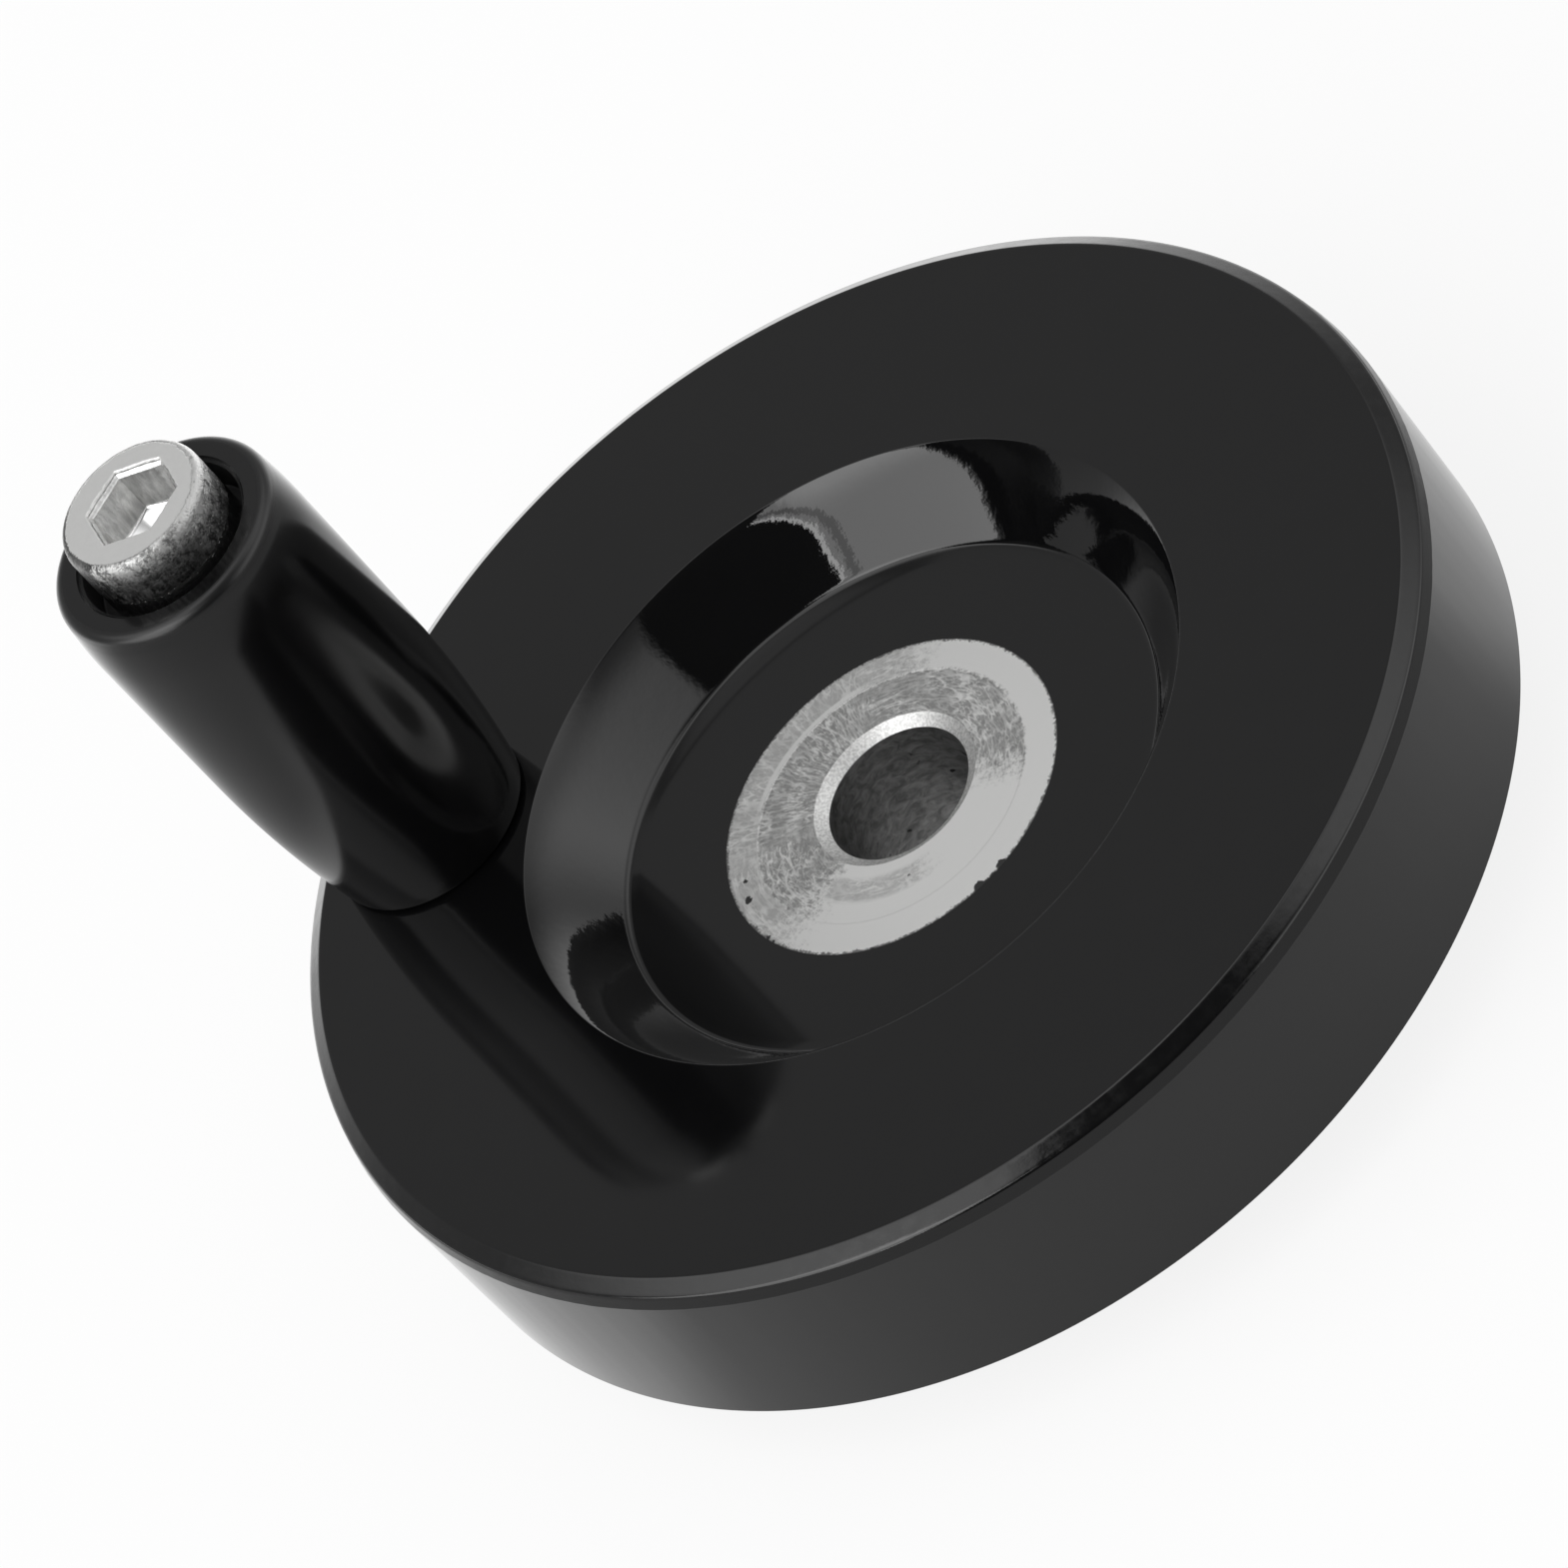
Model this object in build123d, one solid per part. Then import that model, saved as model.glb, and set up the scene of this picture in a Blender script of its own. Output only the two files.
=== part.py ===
from build123d import *
import math
import os

# Machine handwheel: a moulded disc wheel with a metal hub bush and a revolving handle.
# The grip turns freely on a steel sleeve, which a socket cap screw clamps to the wheel.
#
# Frame: millimetres, +Z along the wheel's axis, out of its front. The origin lies on the axis at
# the hub's back end, and the handle's axis stands over +X.

# ---- Wheel moulding ----
wheel_dia = 80.0  # over the parting line, the widest place
rim_width = 14.0  # front face to the rim's back edge
bevel_width = 1.1  # bevel round the front face, measured along the radius
bevel_depth = 0.65  # the same bevel, measured along the axis
land_width = 0.95  # narrow band between the bevel and the parting line
land_draft = 0.25  # radius that the band gains down to the parting line
side_draft = 0.25  # radius that the side loses from the parting line to the back edge
back_edge = 0.3  # small break of the rim's back edge
face_width = 16.5  # rim line in to the recess's edge
recess_depth = 5.4  # front face down to the recess's floor
recess_slope = 4.7  # radius that the recess's wall loses on its way down
floor_radius = 0.4  # fillet where the recess's wall meets its floor
web_thickness = 4.6  # wall behind the face and round the recess
rim_wall = 4.3  # rim's wall at its back edge
hub_wall = 3.2  # moulding round the bush's widest corners
hollow_draft = 3.0  # degrees, draft of the walls inside the hollow back
root_radius = 1.2  # fillets at the roots of the hollow back

# ---- Hub bush, turned from hexagon bar ----
hub_length = 14.0  # hub's back end to the recess's floor
bush_dia = 23.8  # turned round ends
bush_skim = 0.1  # depth turned off the bar's flats at the round ends
belt_length = 7.0  # hexagon belt left between the ends, keyed in the moulding
bore_dia = 10.0  # machine shaft
bore_chamfer = 0.9

# ---- Handle ----
handle_inset = 8.64  # rim line in to the handle's axis
thread_dia = 6.0  # M6 socket cap screw
screw_length = 35.0  # under the head
head_dia = 10.2  # over the knurl
head_height = 6.0
head_edge = 0.65  # chamfer round the head's top
socket_across_flats = 5.03
socket_depth = 3.0
socket_flare = 0.28  # break of the socket's mouth
socket_turn = 8.4  # degrees from +X to the nearest corner of the socket
drill_point = 118.0  # degrees, cone at the bottom of the socket and of the insert's hole
tip_chamfer = 0.8  # screw's tip
thread_clearance = 0.05  # radial, screw in the insert
insert_across_flats = 9.0  # brass hexagon bar
insert_groove_depth = 0.7  # retaining groove round the insert, below the flats
insert_groove_width = 2.4
insert_hole_spare = 0.6  # full hole left below the screw's tip
insert_end = 0.8  # brass below the hole's drill point
insert_wall = 2.2  # moulding round the insert's corners
insert_cover = 1.2  # moulding below the insert's end
sleeve_clearance = 0.2  # radial, screw's shank in the sleeve
sleeve_wall = 0.8
sleeve_length = 29.0  # front face to the screw head
grip_clearance = 0.05  # radial running fit, grip on the sleeve
grip_play = 0.15  # axial gap at each end of the grip
grip_base_dia = 13.9
grip_belly_dia = 16.26
grip_belly_height = 13.8  # base up to the belly, where the flank turns straight
grip_crown_dia = 16.36
grip_crown_drop = 4.6  # outer end down to the crown, the grip's widest place
grip_end_dia = 15.7
grip_base_round = 0.35
grip_end_round = 0.6
counterbore_depth = 2.65  # round the screw's head
counterbore_gap = 0.74  # radial, head to the counterbore's wall
counterbore_lip = 0.3  # chamfer

# ---- Places that follow from the sizes ----
face_z = hub_length + recess_depth
rim_back_z = face_z - rim_width
wheel_r = wheel_dia / 2
recess_r = wheel_r - face_width
recess_floor_r = recess_r - recess_slope
handle_r = wheel_r - handle_inset
bush_across_flats = bush_dia + 2 * bush_skim
sleeve_bore_r = thread_dia / 2 + sleeve_clearance
sleeve_r = sleeve_bore_r + sleeve_wall
head_seat_z = face_z + sleeve_length
head_top_z = head_seat_z + head_height
tip_z = head_seat_z - screw_length
insert_hole_r = thread_dia / 2 + thread_clearance
insert_hole_z = tip_z - insert_hole_spare
insert_point_z = insert_hole_z - insert_hole_r / math.tan(math.radians(drill_point / 2))
insert_end_z = insert_point_z - insert_end
grip_base_z = face_z + grip_play
counterbore_z = head_seat_z - grip_play
grip_end_z = counterbore_z + counterbore_depth
overrun = 1.0  # how far a cut runs past the face that it opens


def corner_radius(across_flats):
    """Radius over the corners of a hexagon bar."""
    return across_flats / 2 / math.cos(math.radians(30))


def outline(*corners):
    """A flat face through (radius, height) corners, not yet stood up on its axis."""
    return make_face(Polyline(*corners, close=True))


def turned(section):
    """The solid that a (radius, height) section sweeps in one turn."""
    return revolve(Plane.XZ * section, Axis.Z)


def hexagon_bar(across_flats, low_z, high_z):
    """A length of hexagon bar on the Z axis, with a corner towards +X."""
    hexagon = RegularPolygon(across_flats / 2, 6, major_radius=False)
    return extrude(Pos(0, 0, low_z) * hexagon, high_z - low_z)


def bush_outside():
    """Round ends, and between them the belt where the bar keeps its flats."""
    belt_low_z = (hub_length - belt_length) / 2
    ends = turned(outline((0, 0), (bush_dia / 2, 0), (bush_dia / 2, hub_length), (0, hub_length)))
    return ends + hexagon_bar(bush_across_flats, belt_low_z, belt_low_z + belt_length)


def hub_bush():
    """The bush that the machine's shaft goes through."""
    bore_r = bore_dia / 2
    mouth_r = bore_r + bore_chamfer + overrun
    bore = outline(
        (0, -overrun),
        (mouth_r, -overrun),
        (bore_r, bore_chamfer),
        (bore_r, hub_length - bore_chamfer),
        (mouth_r, hub_length + overrun),
        (0, hub_length + overrun),
    )
    return bush_outside() - turned(bore)


def insert_outside():
    """Hexagon bar with a turned groove, standing on the Z axis, its top flush with the face."""
    groove_mid_z = (insert_end_z + face_z) / 2
    groove_low_z = groove_mid_z - insert_groove_width / 2
    groove_high_z = groove_mid_z + insert_groove_width / 2
    groove_r = insert_across_flats / 2 - insert_groove_depth
    past_corner_r = corner_radius(insert_across_flats) + overrun
    groove = outline(
        (groove_r, groove_low_z),
        (past_corner_r, groove_low_z),
        (past_corner_r, groove_high_z),
        (groove_r, groove_high_z),
    )
    return hexagon_bar(insert_across_flats, insert_end_z, face_z) - turned(groove)


def handle_insert():
    """Blind threaded insert; the thread is left as its plain outer diameter."""
    hole = outline(
        (0, insert_point_z),
        (insert_hole_r, insert_hole_z),
        (insert_hole_r, face_z + overrun),
        (0, face_z + overrun),
    )
    return insert_outside() - turned(hole)


def recess_section():
    """The recess in the front face: a sloping wall that meets the flat floor in a small fillet."""
    recess = outline(
        (0, hub_length),
        (recess_floor_r, hub_length),
        (recess_r, face_z),
        (recess_r, face_z + overrun),
        (0, face_z + overrun),
    )
    floor_corner = recess.vertices().sort_by_distance((recess_floor_r, hub_length))[0]
    return fillet(floor_corner, floor_radius)


def wheel_section():
    """The wheel's section: rim, web, dished wall round the recess, and hub."""
    draft = math.tan(math.radians(hollow_draft))
    web_back_z = face_z - web_thickness

    parting_z = face_z - bevel_depth - land_width
    band_r = wheel_r - land_draft
    back_r = wheel_r - side_draft
    rim_inner_r = back_r - rim_wall
    rim = outline(
        (rim_inner_r, rim_back_z),
        (back_r - back_edge, rim_back_z),
        (back_r, rim_back_z + back_edge),
        (wheel_r, parting_z),
        (band_r, face_z - bevel_depth),
        (band_r - bevel_width, face_z),
        (rim_inner_r - draft * rim_width, face_z),
    )
    web = outline(
        (0, web_back_z),
        (rim_inner_r, web_back_z),
        (rim_inner_r, face_z),
        (0, face_z),
    )

    # The dish keeps the web's thickness, measured square to the recess's sloping wall.
    slope = recess_slope / recess_depth
    dish_r = recess_r + web_thickness * math.hypot(recess_slope, recess_depth) / recess_depth
    dish_floor_r = dish_r - slope * (recess_depth + web_thickness)
    dish = outline(
        (0, hub_length - web_thickness),
        (dish_floor_r, hub_length - web_thickness),
        (dish_r, face_z),
        (0, face_z),
    )

    hub_r = corner_radius(bush_across_flats) + hub_wall
    hub_height = hub_length - web_thickness / 2
    hub = outline((0, 0), (hub_r, 0), (hub_r + draft * hub_height, hub_height), (0, hub_height))

    section = rim + web + dish + hub
    web_middle_z = face_z - web_thickness / 2
    roots = [
        corner
        for corner in section.vertices()
        if rim_back_z < corner.Y < web_middle_z and hub_r < corner.X < rim_inner_r
    ]
    return fillet(roots, root_radius) - recess_section()


def wheel_disc():
    """The moulding, with the insert's boss in its hollow back and both metal pieces moulded in."""
    boss_z = insert_end_z - insert_cover
    boss_height = face_z - web_thickness / 2 - boss_z
    boss_r = corner_radius(insert_across_flats) + insert_wall
    boss = Cone(
        boss_r,
        boss_r + boss_height * math.tan(math.radians(hollow_draft)),
        boss_height,
        align=(Align.CENTER, Align.CENTER, Align.MIN),
    )
    wheel = turned(wheel_section()) + Pos(handle_r, 0, boss_z) * boss
    return wheel - bush_outside() - Pos(handle_r, 0, 0) * insert_outside()


def handle_sleeve():
    """Tube between the wheel and the screw's head, which the grip turns on."""
    return turned(
        outline(
            (sleeve_bore_r, face_z),
            (sleeve_r, face_z),
            (sleeve_r, head_seat_z),
            (sleeve_bore_r, head_seat_z),
        )
    )


def screw_socket():
    """Hexagon socket with a broken mouth and a drill point, in the place of the screw's head."""
    across = socket_across_flats / 2
    hexagon = RegularPolygon(across, 6, major_radius=False, rotation=socket_turn)
    mouth = RegularPolygon(
        across + socket_flare + overrun, 6, major_radius=False, rotation=socket_turn
    )
    flats = extrude(Pos(0, 0, head_top_z - socket_depth) * hexagon, socket_depth)
    flare = loft(
        [
            Pos(0, 0, head_top_z - socket_flare) * hexagon,
            Pos(0, 0, head_top_z + overrun) * mouth,
        ]
    )
    floor_z = head_top_z - socket_depth
    point_z = floor_z - across / math.tan(math.radians(drill_point / 2))
    return flats + flare + turned(outline((0, point_z), (across, floor_z), (0, floor_z)))


def handle_screw():
    """Socket cap screw; the knurl and the thread are left as their plain outer diameters."""
    shank_r = thread_dia / 2
    head_r = head_dia / 2
    body = turned(
        outline(
            (0, tip_z),
            (shank_r - tip_chamfer, tip_z),
            (shank_r, tip_z + tip_chamfer),
            (shank_r, head_seat_z),
            (head_r, head_seat_z),
            (head_r, head_top_z - head_edge),
            (head_r - head_edge, head_top_z),
            (0, head_top_z),
        )
    )
    return body - screw_socket()


def handle_grip():
    """Barrel grip with a running bore and a counterbore for the screw's head."""
    base = (grip_base_dia / 2, grip_base_z)
    belly = (grip_belly_dia / 2, grip_base_z + grip_belly_height)
    crown = (grip_crown_dia / 2, grip_end_z - grip_crown_drop)
    end = (grip_end_dia / 2, grip_end_z)
    bore_r = sleeve_r + grip_clearance
    counterbore_r = head_dia / 2 + counterbore_gap
    flank = Line(belly, crown)
    flare = TangentArc(belly, base, tangent=flank % 0 * -1)
    shoulder = TangentArc(crown, end, tangent=flank % 1)
    inside = Polyline(
        end,
        (counterbore_r + counterbore_lip, grip_end_z),
        (counterbore_r, grip_end_z - counterbore_lip),
        (counterbore_r, counterbore_z),
        (bore_r, counterbore_z),
        (bore_r, grip_base_z),
        base,
    )
    section = make_face(flare + flank + shoulder + inside)
    end_corner = section.vertices().sort_by_distance(end)[0]
    section = fillet(end_corner, grip_end_round)
    base_corner = section.vertices().sort_by_distance(base)[0]
    return turned(fillet(base_corner, grip_base_round))


on_handle_axis = Pos(handle_r, 0, 0)
pieces = {
    "wheel_disc": wheel_disc(),
    "hub_bush": hub_bush(),
    "handle_insert": on_handle_axis * handle_insert(),
    "handle_sleeve": on_handle_axis * handle_sleeve(),
    "handle_screw": on_handle_axis * handle_screw(),
    "handle_grip": on_handle_axis * handle_grip(),
}

os.makedirs("parts", exist_ok=True)
for node, piece in pieces.items():
    export_step(piece, f"parts/{node}.step")
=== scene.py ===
import math
from functools import partial

import bmesh
import bpy
import numpy as np
from bpy.props import FloatProperty, FloatVectorProperty, IntProperty, PointerProperty
from mathutils import Matrix, Vector


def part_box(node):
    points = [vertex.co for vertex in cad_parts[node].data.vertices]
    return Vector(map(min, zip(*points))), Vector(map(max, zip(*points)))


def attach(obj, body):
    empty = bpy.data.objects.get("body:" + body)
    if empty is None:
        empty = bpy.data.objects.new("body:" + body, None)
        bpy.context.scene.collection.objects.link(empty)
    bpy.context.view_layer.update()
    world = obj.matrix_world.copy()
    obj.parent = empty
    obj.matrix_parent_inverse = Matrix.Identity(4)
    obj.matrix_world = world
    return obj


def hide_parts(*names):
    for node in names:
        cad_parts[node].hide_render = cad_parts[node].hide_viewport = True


bl_info = {
    "name": "Machine Handwheel",
    "version": (1, 0, 0),
    "blender": (4, 5, 0),
    "location": "View3D > Sidebar > Handwheel",
    "description": "Disc handwheel with a revolving handle, dressed round its CAD frame",
    "category": "Object",
}

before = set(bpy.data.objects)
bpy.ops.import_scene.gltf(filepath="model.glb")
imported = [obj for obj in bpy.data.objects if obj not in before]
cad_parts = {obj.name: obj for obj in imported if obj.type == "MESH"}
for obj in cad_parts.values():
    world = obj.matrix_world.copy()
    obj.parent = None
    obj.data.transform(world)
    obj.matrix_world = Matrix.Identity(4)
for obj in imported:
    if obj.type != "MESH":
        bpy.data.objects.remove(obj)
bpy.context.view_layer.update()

MM = 0.001
CAMERA_AT = (-0.322734, 0.346910, 0.432863)
CAMERA_AHEAD = (0.518987, -0.547475, -0.656448)
CAMERA_RIGHT = (-0.841369, -0.191674, -0.505330)
BEYOND = (0.69, -0.72)  # the way the camera looks, along the floor
WELD = 2e-8  # points closer together than this become one
NUMBER = "NodeSocketFloat"
VECTOR = "NodeSocketVector"


# ---- Settings ----


def length(name, description, millimetres):
    """A length setting, given in millimetres and kept in metres."""
    return FloatProperty(
        name=name, description=description, default=millimetres * MM, min=0.0,
        precision=5, unit="LENGTH", subtype="DISTANCE",
    )


def turn(name, description, degrees):
    """An angle setting, given in degrees and kept in radians."""
    return FloatProperty(
        name=name, description=description, default=math.radians(degrees),
        unit="ROTATION", subtype="ANGLE",
    )


def share(name, description, value, top=1.0):
    """A plain number from nothing to its top."""
    return FloatProperty(
        name=name, description=description, default=value, min=0.0, max=top, subtype="FACTOR",
    )


def tint(name, description, value):
    """A colour setting."""
    return FloatVectorProperty(
        name=name, description=description, default=value, size=3, min=0.0, max=1.0, subtype="COLOR",
    )


def across(node):
    """Width of a CAD node along X, in millimetres."""
    low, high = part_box(node)
    return (high.x - low.x) / MM


def height(node, end):
    """Lowest or highest level of a CAD node, in millimetres."""
    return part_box(node)[end].z / MM


class WheelSettings(bpy.types.PropertyGroup):
    diameter: length("Diameter", "Over the parting line", across("wheel_disc"))
    rim_width: length("Rim width", "Front face to the rim's back edge", 14.0)
    bevel_width: length("Bevel width", "Along the radius", 1.1)
    bevel_depth: length("Bevel depth", "Along the axis", 0.65)
    land_width: length("Land width", "Band from the bevel to the parting line", 0.95)
    land_draft: length("Land draft", "Radius gained over the band", 0.25)
    side_draft: length("Side draft", "Radius lost from the parting line to the back", 0.25)
    back_edge: length("Back edge", "Break of the back edge", 0.3)
    face_width: length("Face width", "Parting line in to the recess", 16.5)
    recess_depth: length("Recess depth", "Face down to the recess floor", 5.4)
    recess_slope: length("Recess slope", "Radius lost down the recess wall", 4.7)
    floor_radius: length("Floor radius", "Fillet round the recess floor", 0.6)
    wall_slope: turn("Wall slope", "Of the recess wall's straight lower part, from the floor", 53.7)
    wall_roll: turn("Wall roll", "How far the wall turns over towards the face", 13.0)
    wall_straight: share("Straight part", "Share of the wall's length below its curve", 0.5)
    recess_edge: length("Recess edge", "Round where the wall meets the face", 0.1)
    web: length("Web", "Wall behind the face and the recess", 4.6)
    rim_wall: length("Rim wall", "At the back edge", 4.3)
    hub_wall: length("Hub wall", "Round the bush's corners", 3.2)
    draft: turn("Draft", "Of the walls in the hollow back", 3.0)
    root_radius: length("Root radius", "Fillets in the hollow back", 1.2)
    edge_round: length("Edge round", "Small break left on the moulding's edges", 0.07)
    bevel_round: length("Bevel round", "Soft edges of the bevel", 0.35)
    flash: length("Flash", "Raggedness of the parting line", 0.035)


class BushSettings(bpy.types.PropertyGroup):
    length: length("Length", "Hub's back end to the recess floor", height("hub_bush", 1))
    diameter: length("Diameter", "Round ends", 23.8)
    across_flats: length("Across flats", "Hexagon belt", 24.0)
    belt_length: length("Belt length", "Hexagon belt between the round ends", 7.0)
    bore: length("Bore", "Bore's diameter", 10.0)
    bore_drift: length("Bore drift", "How far the bore was drilled off the bush's middle", 0.55)
    drift_turn: turn("Drift turn", "From +X to where it drifted", -109.0)
    mouth_width: length("Mouth width", "Countersink, along the radius", 0.83)
    mouth_depth: length("Mouth depth", "Countersink, along the axis", 0.55)
    ring: length("Turned ring", "Radius of the step turned in the end face", 9.65)
    ring_step: length("Ring step", "Depth of that step", 0.015)


class InsertSettings(bpy.types.PropertyGroup):
    inset: length("Handle inset", "Parting line in to the handle's axis", 8.64)
    across_flats: length("Across flats", "Hexagon bar", 9.0)
    wall: length("Wall", "Moulding round the insert", 2.2)
    cover: length("Cover", "Moulding below the insert", 1.2)


class ScrewSettings(bpy.types.PropertyGroup):
    head: length("Head diameter", "Over the knurl", 10.2)
    head_height: length("Head height", "Seat to the flat top", 6.0)
    head_edge: length("Head edge", "Rounded shoulder, along the radius", 0.5)
    shoulder: length("Shoulder", "Rounded shoulder, along the axis", 0.75)
    socket: length("Socket", "Across the socket's flats", 5.3)
    socket_depth: length("Socket depth", "Down its corners", 3.45)
    socket_flare: length("Socket flare", "Rolled lip of the socket's mouth, along the radius", 0.42)
    flare_depth: length("Flare depth", "The same lip along the axis", 0.55)
    lip_ripple: length("Lip ripple", "Steps that the broach left down the lip", 0.035)
    socket_drift: length("Socket drift", "How far the socket was punched off the head's middle", 0.24)
    socket_drift_turn: turn("Socket drift turn", "From +X to where it was punched", -140.0)
    socket_turn: turn("Socket turn", "From +X to a corner", 8.4)
    drill_point: turn("Drill point", "At the bottom of the socket", 130.0)
    thread: length("Thread", "Outer diameter", 6.0)
    pitch: length("Pitch", "Of the thread", 1.0)
    thread_length: length("Thread length", "Up from the tip", 24.0)
    knurls: IntProperty(name="Knurls", description="Ribs round the head", default=66, min=6, max=200)
    knurl_depth: length("Knurl depth", "Groove between two ribs", 0.05)


class GripSettings(bpy.types.PropertyGroup):
    base: length("Base diameter", "Next to the wheel", 13.9)
    belly: length("Belly diameter", "Where the flank turns straight", 16.26)
    belly_height: length("Belly height", "Above the base", 13.8)
    crown: length("Crown diameter", "Widest place", 16.36)
    crown_drop: length("Crown drop", "Below the outer end", 4.6)
    end: length("End diameter", "At the outer end", 15.7)
    base_round: length("Base round", "Edge next to the wheel", 0.35)
    end_round: length("End round", "Edge round the outer end", 0.75)
    bore: length("Bore", "Runs on the sleeve", 8.1)
    counterbore: length("Counterbore", "Round the screw's head", 11.68)
    counterbore_depth: length("Counterbore depth", "From the outer end", 2.65)
    lip: length("Lip", "Chamfer of the counterbore", 0.3)


class FinishSettings(bpy.types.PropertyGroup):
    moulding: tint("Moulding", "Black phenolic", (0.003, 0.003, 0.0032))
    face_rough: share("Face roughness", "Of the wheel's broad flats", 0.07)
    wall_rough: share("Wall roughness", "Of the recess's polished wall", 0.03)
    edge_rough: share("Edge roughness", "Of the trimmed bevel", 0.12)
    grip_rough: share("Grip roughness", "Of the grip's skin", 0.16)
    bush: tint("Bush", "Turned free-cutting steel", (0.88, 0.88, 0.87))
    screw: tint("Screw", "Nickel-plated steel", (0.86, 0.86, 0.85))
    sleeve: tint("Sleeve", "Drawn steel tube", (0.56, 0.56, 0.57))
    insert: tint("Insert", "Turned brass bar", (0.78, 0.60, 0.30))


class StageSettings(bpy.types.PropertyGroup):
    floor_radius: FloatProperty(name="Floor radius", description="Round floor", default=6.0, unit="LENGTH")
    floor: tint("Floor", "Its pale colour", (0.95, 0.95, 0.95))
    room: share("Room", "Level of the plain room light", 0.62, 2.0)
    grey_room: share("Grey room", "Level of the room in gloss, where no screen stands", 0.335, 2.0)
    window: share("Window", "Level of the tall soft light", 2.25, 5.0)
    window_turn: turn("Window turn", "From +X to the wall it stands in", 70.0)
    window_lean: turn("Window lean", "Of its upright sides", 16.0)
    lens: FloatProperty(name="Lens", description="Focal length", default=233.14, unit="CAMERA")


class HandwheelSettings(bpy.types.PropertyGroup):
    wheel: PointerProperty(type=WheelSettings)
    bush: PointerProperty(type=BushSettings)
    insert: PointerProperty(type=InsertSettings)
    screw: PointerProperty(type=ScrewSettings)
    grip: PointerProperty(type=GripSettings)
    finish: PointerProperty(type=FinishSettings)
    stage: PointerProperty(type=StageSettings)


# ---- Surfaces ----


def rounded(outline, steps=5):
    """A closed outline through (radius, height, round) corners, each rounded by an arc of steps points.

    An arc's points are its middle plus its radius times a direction that turns evenly from one
    tangent point to the other. One more point lies beside each end of the arc, a little further
    out, so that the flats beside it shade flat.
    """
    beside = 0.4
    corner = np.array([c[:2] for c in outline])
    radius = np.array([c[2:] for c in outline])
    back = np.roll(corner, 1, axis=0) - corner
    ahead = np.roll(corner, -1, axis=0) - corner
    back /= np.linalg.norm(back, axis=1, keepdims=True)
    ahead /= np.linalg.norm(ahead, axis=1, keepdims=True)
    opening = np.arccos(np.clip((back * ahead).sum(1, keepdims=True), -1, 1))
    bend = math.pi - opening
    run = radius / np.tan(opening / 2)
    middle_way = back + ahead
    size = np.linalg.norm(middle_way, axis=1, keepdims=True)
    middle = corner + middle_way / np.maximum(size, 1e-12) * radius / np.sin(opening / 2)
    start = corner + back * run
    stop = corner + ahead * run
    share_along = np.linspace(0, 1, steps)[None, :, None]
    sine = np.maximum(np.sin(bend), 1e-9)[:, None]
    from_start = (start - middle)[:, None] * np.sin((1 - share_along) * bend[:, None]) / sine
    from_stop = (stop - middle)[:, None] * np.sin(share_along * bend[:, None]) / sine
    arc = middle[:, None] + from_start + from_stop
    arc = np.where((radius * bend < 1e-9)[:, None], corner[:, None], arc)
    before = start + back * radius * beside
    after = stop + ahead * radius * beside
    return np.concatenate([before[:, None], arc, after[:, None]], axis=1)


def flat(parts):
    """The (corner, step) points of a rounded outline as one row."""
    return parts.reshape(-1, 2)


def angles(count):
    """Evenly spaced angles of one turn."""
    return np.arange(count) * 2 * math.pi / count


def swept(radius, level, turns, centre=0.0):
    """Points of a surface of revolution round a Z axis at X centre: radius is by row, or by row and turn."""
    if np.ndim(radius) < 2:
        radius = np.reshape(radius, (-1, 1))
    radius = np.broadcast_to(radius, (len(level), len(turns)))
    height_of = np.broadcast_to(np.reshape(level, (-1, 1)), radius.shape)
    return np.stack([centre + radius * np.cos(turns), radius * np.sin(turns), height_of], axis=2)


def hexagon(turns, across_flats, corner=0.0):
    """Distance from a hexagon's middle to its side: half across flats over the cosine off the flat."""
    off_flat = np.mod(turns - corner, math.pi / 3) - math.pi / 6
    return across_flats / 2 / np.cos(off_flat)


def belted(section, turns, across_flats):
    """A section's radius by row and turn; rows at half the width across flats follow the hexagon."""
    radius = np.repeat(section[:, :1], len(turns), axis=1)
    radius[np.isclose(section[:, 0], across_flats / 2, atol=1e-9)] = hexagon(turns, across_flats)
    return radius


def drift(distance, way):
    """A shift over a distance at an angle from +X."""
    return distance * np.array([math.cos(way), math.sin(way), 0.0])


def unevenness(turns, rates):
    """A closed, wavering value from 0 to 1 round a turn: the mean of sines whose rates are whole numbers."""
    waves = [np.sin(rate * turns + 1.7 * number) for number, rate in enumerate(rates)]
    return 0.5 + 0.5 * np.mean(waves, axis=0)


def bow(start, end, way, steps):
    """Points of the arc from start, where it runs along way, to end."""
    start, end, way = (np.asarray(v, float) for v in (start, end, way))
    chord = end - start
    way = way / np.linalg.norm(way)
    side = np.array([-way[1], way[0]])
    radius = chord @ chord / (2 * (chord @ side))
    middle = start + side * radius
    first = start - middle
    last = end - middle
    total = math.atan2(first[0] * last[1] - first[1] * last[0], first @ last)
    step = np.linspace(0, total, steps)[:, None]
    quarter = np.array([-first[1], first[0]])
    return middle + first * np.cos(step) + quarter * np.sin(step)


def quads(rows, columns, first, wrap_rows, wrap_columns):
    """Corner numbers of the faces of a grid of points, whose first point is number first."""
    number = first + np.arange(rows * columns).reshape(rows, columns)
    if wrap_rows:
        number = np.vstack([number, number[:1]])
    if wrap_columns:
        number = np.hstack([number, number[:, :1]])
    return np.stack(
        [number[:-1, :-1], number[:-1, 1:], number[1:, 1:], number[1:, :-1]], axis=2
    ).reshape(-1, 4)


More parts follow.
